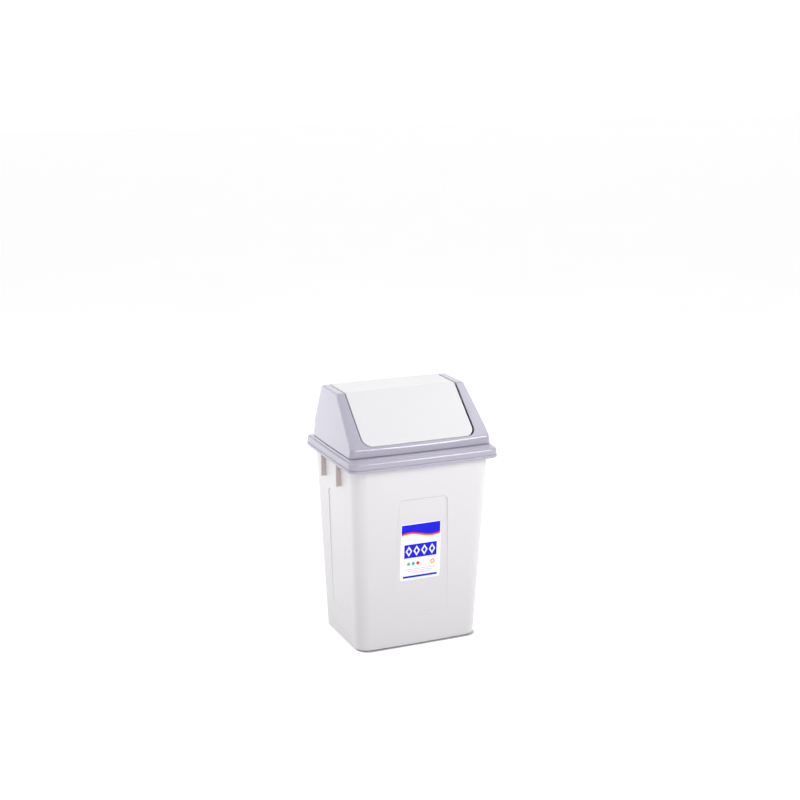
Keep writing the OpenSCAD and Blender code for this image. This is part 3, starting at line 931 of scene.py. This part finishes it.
class Nodes:
    """Builds a material's node tree; a number or a socket may feed any input."""

    def __init__(self, name):
        self.material = bpy.data.materials.new(name)
        self.material.use_nodes = True
        self.tree = self.material.node_tree
        self.shader = self.tree.nodes["Principled BSDF"]
        self.place = self.tree.nodes.new("ShaderNodeTexCoord").outputs["Object"]

    def feed(self, socket, value):
        if isinstance(value, bpy.types.NodeSocket):
            self.tree.links.new(value, socket)
        else:
            socket.default_value = value

    def maths(self, operation, a, b=0.0):
        node = self.tree.nodes.new("ShaderNodeMath")
        node.operation = operation
        self.feed(node.inputs[0], a)
        self.feed(node.inputs[1], b)
        return node.outputs[0]

    def axes(self):
        """The X, Y and Z of a place on the piece, in metres."""
        split = self.tree.nodes.new("ShaderNodeSeparateXYZ")
        self.feed(split.inputs[0], self.place)
        return split.outputs

    def noise(self, scale, detail):
        """A noise with `scale` cells to the metre, around 0.5."""
        node = self.tree.nodes.new("ShaderNodeTexNoise")
        self.feed(node.inputs["Vector"], self.place)
        node.inputs["Scale"].default_value = scale
        node.inputs["Detail"].default_value = detail
        return node.outputs["Fac"]

    def spread(self, value, low, high, start=0.3, end=0.7):
        """low where value is start or less, high where it is end or more."""
        node = self.tree.nodes.new("ShaderNodeMapRange")
        self.feed(node.inputs["Value"], value)
        node.inputs["From Min"].default_value = start
        node.inputs["From Max"].default_value = end
        node.inputs["To Min"].default_value = low
        node.inputs["To Max"].default_value = high
        return node.outputs["Result"]

    def blend(self, factor, a, b):
        """A colour between a and b."""
        node = self.tree.nodes.new("ShaderNodeMix")
        node.data_type = "RGBA"
        self.feed(node.inputs["Factor"], factor)
        self.feed(node.inputs["A"], a)
        self.feed(node.inputs["B"], b)
        return node.outputs["Result"]

    def bump(self, height, strength, distance, under=None):
        node = self.tree.nodes.new("ShaderNodeBump")
        node.inputs["Strength"].default_value = strength
        node.inputs["Distance"].default_value = distance
        self.feed(node.inputs["Height"], height)
        if under is not None:
            self.feed(node.inputs["Normal"], under)
        return node.outputs["Normal"]


# Cells to the metre of the plastics' clouds, uneven gloss, slow waves and fine skin
CLOUD_SCALE, GLOSS_SCALE, WAVE_SCALE, SKIN_SCALE = 14, 60, 22, 1500
GLOSS_DOWN, GLOSS_UP = 0.03, 0.05       # how far the roughness strays
WAVE_STRENGTH, WAVE_H, SKIN_H = 0.25, 0.4, 0.03
PLASTIC_IOR = 1.49
PAINTED_SHADE_SHARE = 0.9            # share of the bucket's height over which the painted shade deepens towards the floor


def plastic(name, pale, deep, roughness, grain, low=None, gloss=0.5):
    """Moulded plastic: a faint cloudiness, uneven gloss, slow waves and a fine skin.
    With `low`, the colour turns to that towards the floor: painted shade for the lower wall's
    weaker light."""
    nodes = Nodes(name)
    shader = nodes.shader.inputs
    clouds = nodes.spread(nodes.noise(CLOUD_SCALE, 3.0), 0.0, 1.0)
    colour = nodes.blend(clouds, (*pale, 1), (*deep, 1))
    # Painted shade: the colour darkens towards the floor, where the wall gets less light
    if low is not None:
        height = nodes.spread(nodes.axes()["Z"], 0.0, 1.0, 0.0, PAINTED_SHADE_SHARE * BUCKET_H * MM)
        colour = nodes.blend(height, (*low, 1), colour)
    nodes.feed(shader["Base Color"], colour)
    shader["Specular IOR Level"].default_value = gloss
    uneven = nodes.spread(nodes.noise(GLOSS_SCALE, 3.0), roughness - GLOSS_DOWN,
                          roughness + GLOSS_UP)
    nodes.feed(shader["Roughness"], uneven)
    waves = nodes.bump(nodes.noise(WAVE_SCALE, 1.0), WAVE_STRENGTH, WAVE_H * MM)
    skin = nodes.bump(nodes.noise(SKIN_SCALE, 2.0), grain, SKIN_H * MM, waves)
    nodes.feed(shader["Normal"], skin)
    shader["IOR"].default_value = PLASTIC_IOR
    return nodes.material


PRINT_SOFT = 0.15          # softness of the print's edges
PRINT_MARGIN = 1.1         # white border round the print
FILM_SCALE, FILM_STRENGTH, FILM_H = 180, 0.15, 0.1      # its slight waviness


def label_film():
    """Printed film with a generic pattern: a blue head band with a red and an orange wave
    under it, a blue panel with four diamonds, coloured spots, fine rules and a foot band."""
    nodes = Nodes("label_film")
    axes = nodes.axes()
    m = nodes.maths
    # Millimetres from the middle of the label: x to the right, y up
    x = m("SUBTRACT", m("MULTIPLY", axes["X"], 1 / MM), LABEL_X)
    y = m("SUBTRACT", m("MULTIPLY", axes["Z"], 1 / MM), LABEL_Z)

    def below(value, limit):
        """1 where value is under limit, with a soft edge."""
        ramp = m("DIVIDE", m("SUBTRACT", limit, value), PRINT_SOFT)
        node = nodes.tree.nodes.new("ShaderNodeClamp")
        nodes.feed(node.inputs["Value"], m("ADD", ramp, 0.5))
        return node.outputs[0]

    def both(*masks):
        mask = masks[0]
        for other in masks[1:]:
            mask = m("MULTIPLY", mask, other)
        return mask

    def away(value, centre):
        return m("ABSOLUTE", m("SUBTRACT", value, centre))

    def box(cx, cy, w, h):
        return both(below(away(x, cx), w / 2), below(away(y, cy), h / 2))

    def spot(cx, cy, radius):
        dx, dy = m("SUBTRACT", x, cx), m("SUBTRACT", y, cy)
        dist = m("SQRT", m("ADD", m("MULTIPLY", dx, dx), m("MULTIPLY", dy, dy)))
        return below(dist, radius)

    def diamond(cx, cy, w, h):
        return below(m("ADD", m("DIVIDE", away(x, cx), w / 2),
                       m("DIVIDE", away(y, cy), h / 2)), 1.0)

    blue, red, orange = (0.004, 0.004, 0.78, 1), (0.9, 0.02, 0.02, 1), (1.0, 0.36, 0.0, 1)
    green, sky, grey = (0.10, 0.62, 0.10, 1), (0.03, 0.38, 0.85, 1), (0.42, 0.42, 0.50, 1)
    white = (0.93, 0.93, 0.93, 1)
    inside = box(0, 0, LABEL_W - 2 * PRINT_MARGIN, LABEL_H - 2 * PRINT_MARGIN)
    wave = m("MULTIPLY", m("SINE", m("MULTIPLY", x, 0.11)), 2.4)
    head = m("SUBTRACT", m("MULTIPLY", y, -1.0), wave)      # grows downwards from the wave

    # Every mark is laid over those before it
    marks = [(both(inside, below(head, -edge)), tint)
             for edge, tint in ((20.0, orange), (21.2, red), (22.6, blue))]
    marks.append((box(0, 1, 42, 17), blue))
    for cx in (-15, -5, 5, 15):
        marks += [(diamond(cx, 1, 8.4, 13), white), (diamond(cx, 1, 4.4, 7), blue)]
    marks += [(spot(cx, -15, 2.1), tint) for cx, tint in ((-15, green), (-9, sky), (-3, red))]
    marks += [(spot(16, -15, 3.0), orange), (spot(16, -15, 1.5), white)]
    marks += [(box(0, cy, w, 0.55), grey) for cy, w in ((-22, 40), (-24.4, 32), (-26.8, 24))]
    marks.append((box(0, -31.4, 44, 2.6), blue))
    colour = white
    for mask, tint in marks:
        colour = nodes.blend(mask, colour, tint)
    nodes.feed(nodes.shader.inputs["Base Color"], colour)
    nodes.shader.inputs["Roughness"].default_value = 0.28
    nodes.shader.inputs["Specular IOR Level"].default_value = 0.2
    waves = nodes.bump(nodes.noise(FILM_SCALE, 2.0), FILM_STRENGTH, FILM_H * MM)
    nodes.feed(nodes.shader.inputs["Normal"], waves)
    return nodes.material


# ---- stage ----

FLOOR_HALF = 9000
FLOOR_GLOW = 0.53
# Core of the painted contact shadow under the bin, where the floor does not glow, (middle, half
# size) along X and Y, and how far from it the glow starts and is full
SHADOW_CORE_X, SHADOW_CORE_Y = (1, BASE_W / 2 - BASE_R - 1), (-1, BASE_D / 2 - BASE_R)
GLOW_FROM, GLOW_FULL = BASE_R - 0.5, BASE_R + 1.5


def make_floor():
    """A pale floor that glows evenly, with a painted contact shadow: no glow under the bin."""
    nodes = Nodes("pale_floor")
    tone = nodes.spread(nodes.noise(3, 2.0), 0.0, 1.0)
    nodes.feed(nodes.shader.inputs["Base Color"],
               nodes.blend(tone, (0.58, 0.58, 0.58, 1), (0.60, 0.60, 0.60, 1)))
    nodes.shader.inputs["Roughness"].default_value = 0.6
    axes = nodes.axes()
    m = nodes.maths
    # Distance from the painted shadow's core; the glow is left out there, painting the bin's
    # contact shadow
    squares = []
    for axis, (middle, half) in (("X", SHADOW_CORE_X), ("Y", SHADOW_CORE_Y)):
        away = m("ABSOLUTE", m("SUBTRACT", axes[axis], middle * MM))
        past = m("MAXIMUM", m("SUBTRACT", away, half * MM), 0.0)
        squares.append(m("MULTIPLY", past, past))
    dist = m("SQRT", m("ADD", *squares))
    glow = nodes.spread(dist, 0.0, FLOOR_GLOW, GLOW_FROM * MM, GLOW_FULL * MM)
    nodes.shader.inputs["Emission Color"].default_value = (1, 1, 1, 1)
    nodes.feed(nodes.shader.inputs["Emission Strength"], glow)
    skin = Skin()
    skin.cap(skin.add([[x * FLOOR_HALF, y * FLOOR_HALF, 0]
                       for x, y in ((-1, -1), (1, -1), (1, 1), (-1, 1))]))
    mesh_object("floor", skin, nodes.material)


LOW_AIM, HIGH_AIM = (0, 0, 150), (0, 0, 250)
# Name, place, aim, width and height, watts; each stands where a face or an edge mirrors it
SOFTBOXES = (
    ("key_softbox", (690, -1200, 1110), LOW_AIM, (440, 700), 13),
    ("top_softbox", (-900, -100, 1500), LOW_AIM, (700, 700), 5),
    ("left_softbox", (-1480, 160, 720), LOW_AIM, (700, 700), 2.6),
    ("back_left_softbox", (-560, 930, 350), HIGH_AIM, (800, 700), 2),
    ("over_right_softbox", (820, -170, 1500), HIGH_AIM, (450, 600), 2.2),
)


def area_light(name, place_at, aim, size, watts):
    data = bpy.data.lights.new(name, "AREA")
    data.shape = "RECTANGLE"
    data.size, data.size_y = size[0] * MM, size[1] * MM
    data.energy = watts
    light = bpy.data.objects.new(name, data)
    bpy.context.scene.collection.objects.link(light)
    light.location = Vector(place_at) * MM
    way = Vector(aim) * MM - light.location
    light.rotation_mode = "QUATERNION"
    light.rotation_quaternion = way.to_track_quat("-Z", "Y")


WORLD_AWAY = (0.41, 0.91, 0)           # level, from the front left past the object
WORLD_NEAR, WORLD_FAR = 0.36, 1.45     # brightness before the object and behind it
WORLD_POWER = 3                        # how late it turns bright on the way round


def make_world():
    """A white surround, brightest behind the object and darkest before it."""
    world = bpy.data.worlds.new("studio")
    bpy.context.scene.world = world
    world.use_nodes = True
    tree = world.node_tree
    way = tree.nodes.new("ShaderNodeTexCoord").outputs["Generated"]
    along = tree.nodes.new("ShaderNodeVectorMath")
    along.operation = "DOT_PRODUCT"
    tree.links.new(way, along.inputs[0])
    along.inputs[1].default_value = WORLD_AWAY
    share = tree.nodes.new("ShaderNodeMapRange")
    share.inputs["From Min"].default_value = -1
    tree.links.new(along.outputs["Value"], share.inputs["Value"])
    bent = tree.nodes.new("ShaderNodeMath")
    bent.operation = "POWER"
    bent.inputs[1].default_value = WORLD_POWER
    tree.links.new(share.outputs["Result"], bent.inputs[0])
    strength = tree.nodes.new("ShaderNodeMapRange")
    strength.inputs["To Min"].default_value = WORLD_NEAR
    strength.inputs["To Max"].default_value = WORLD_FAR
    tree.links.new(bent.outputs[0], strength.inputs["Value"])
    back = tree.nodes["Background"]
    back.inputs["Color"].default_value = (1.0, 1.0, 1.0, 1)
    tree.links.new(strength.outputs["Result"], back.inputs["Strength"])


CAMERA_AT = (-710.86, -1595.91, 725.61)
YAW, PITCH, ROLL = 23.97, 14.02, -0.26
LENS, SENSOR_W = 67.95, 36


def make_camera():
    """The photograph's viewpoint, from a fit to the lid's and the bucket's edges."""
    data = bpy.data.cameras.new("camera")
    data.sensor_width = SENSOR_W
    data.lens = LENS
    camera = bpy.data.objects.new("camera", data)
    bpy.context.scene.collection.objects.link(camera)
    ahead = Vector((sind(YAW) * cosd(PITCH), cosd(YAW) * cosd(PITCH), -sind(PITCH)))
    level = Vector((cosd(YAW), -sind(YAW), 0))
    down = ahead.cross(level)
    right = level * cosd(ROLL) + down * sind(ROLL)
    below = down * cosd(ROLL) - level * sind(ROLL)
    turned = Matrix((right, -below, -ahead)).transposed().to_4x4()
    camera.matrix_world = Matrix.Translation(Vector(CAMERA_AT) * MM) @ turned
    bpy.context.scene.camera = camera


# ---- the scene ----

# The bucket's `low` colour is painted shade, darker towards the floor
bucket_plastic = plastic("bucket_plastic", (0.76, 0.745, 0.76), (0.745, 0.73, 0.745),
                         roughness=0.34, grain=0.10, low=(0.64, 0.625, 0.645))
# Same plastic as the bucket, darker and warmer: painted shade on the ribs under the skirt's
# overhang
shaded_rib_plastic = plastic("shaded_rib_plastic", (0.61, 0.535, 0.51), (0.59, 0.515, 0.49),
                      roughness=0.34, grain=0.10)
lid_plastic = plastic("lid_plastic", (0.425, 0.405, 0.50), (0.415, 0.395, 0.49),
                      roughness=0.2, grain=0.08, gloss=0.8)
flap_plastic = plastic("flap_plastic", (0.74, 0.74, 0.755), (0.73, 0.73, 0.745),
                       roughness=0.4, grain=0.10)

make_bucket(bucket_plastic, shaded_rib_plastic)
make_label(label_film())
make_lid_frame(lid_plastic)
make_flap(flap_plastic)
make_floor()
make_world()
for softbox in SOFTBOXES:
    area_light(*softbox)
make_camera()
bpy.context.scene.view_settings.view_transform = "Standard"
